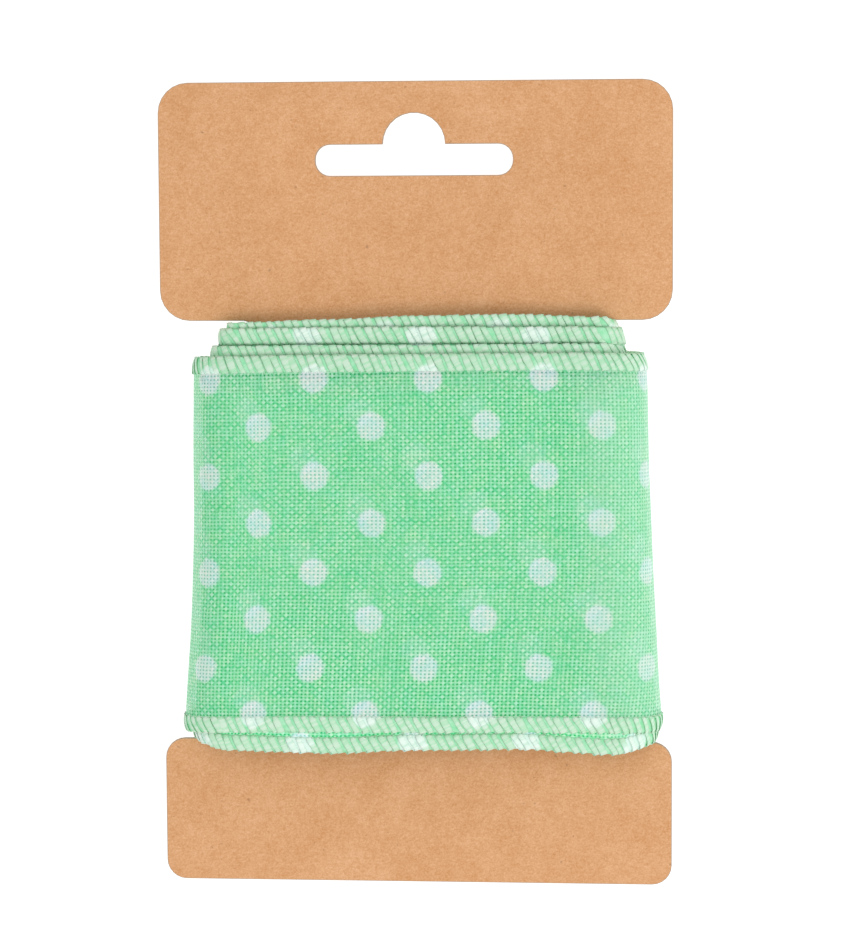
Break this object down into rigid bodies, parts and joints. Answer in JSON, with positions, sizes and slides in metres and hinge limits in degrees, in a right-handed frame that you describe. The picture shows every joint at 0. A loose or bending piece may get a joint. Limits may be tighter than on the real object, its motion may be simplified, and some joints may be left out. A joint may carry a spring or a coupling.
{
  "type": "card of wired ribbon",
  "caption": "Wide hemmed ribbon wound through the side notches of a kraft board card with a hang slot in its header.",
  "frame": {"origin": "on the surface that the part lies on, below the middle of the card", "axes": "+Y up the card to the hang slot, +X to the right seen from the front, +Z out of the card's face"},
  "size_m": [0.085, 0.1334, 0.018],
  "materials": {
    "kraft_board": "plain uncoated kraft board, matt",
    "ribbon_cloth": "open plain weave ribbon with white dots and overlocked hems, matt with a soft sheen"
  },
  "bodies": {
    "root": {"card": "kraft_board", "ribbon": "ribbon_cloth"}
  },
  "joints": []
}
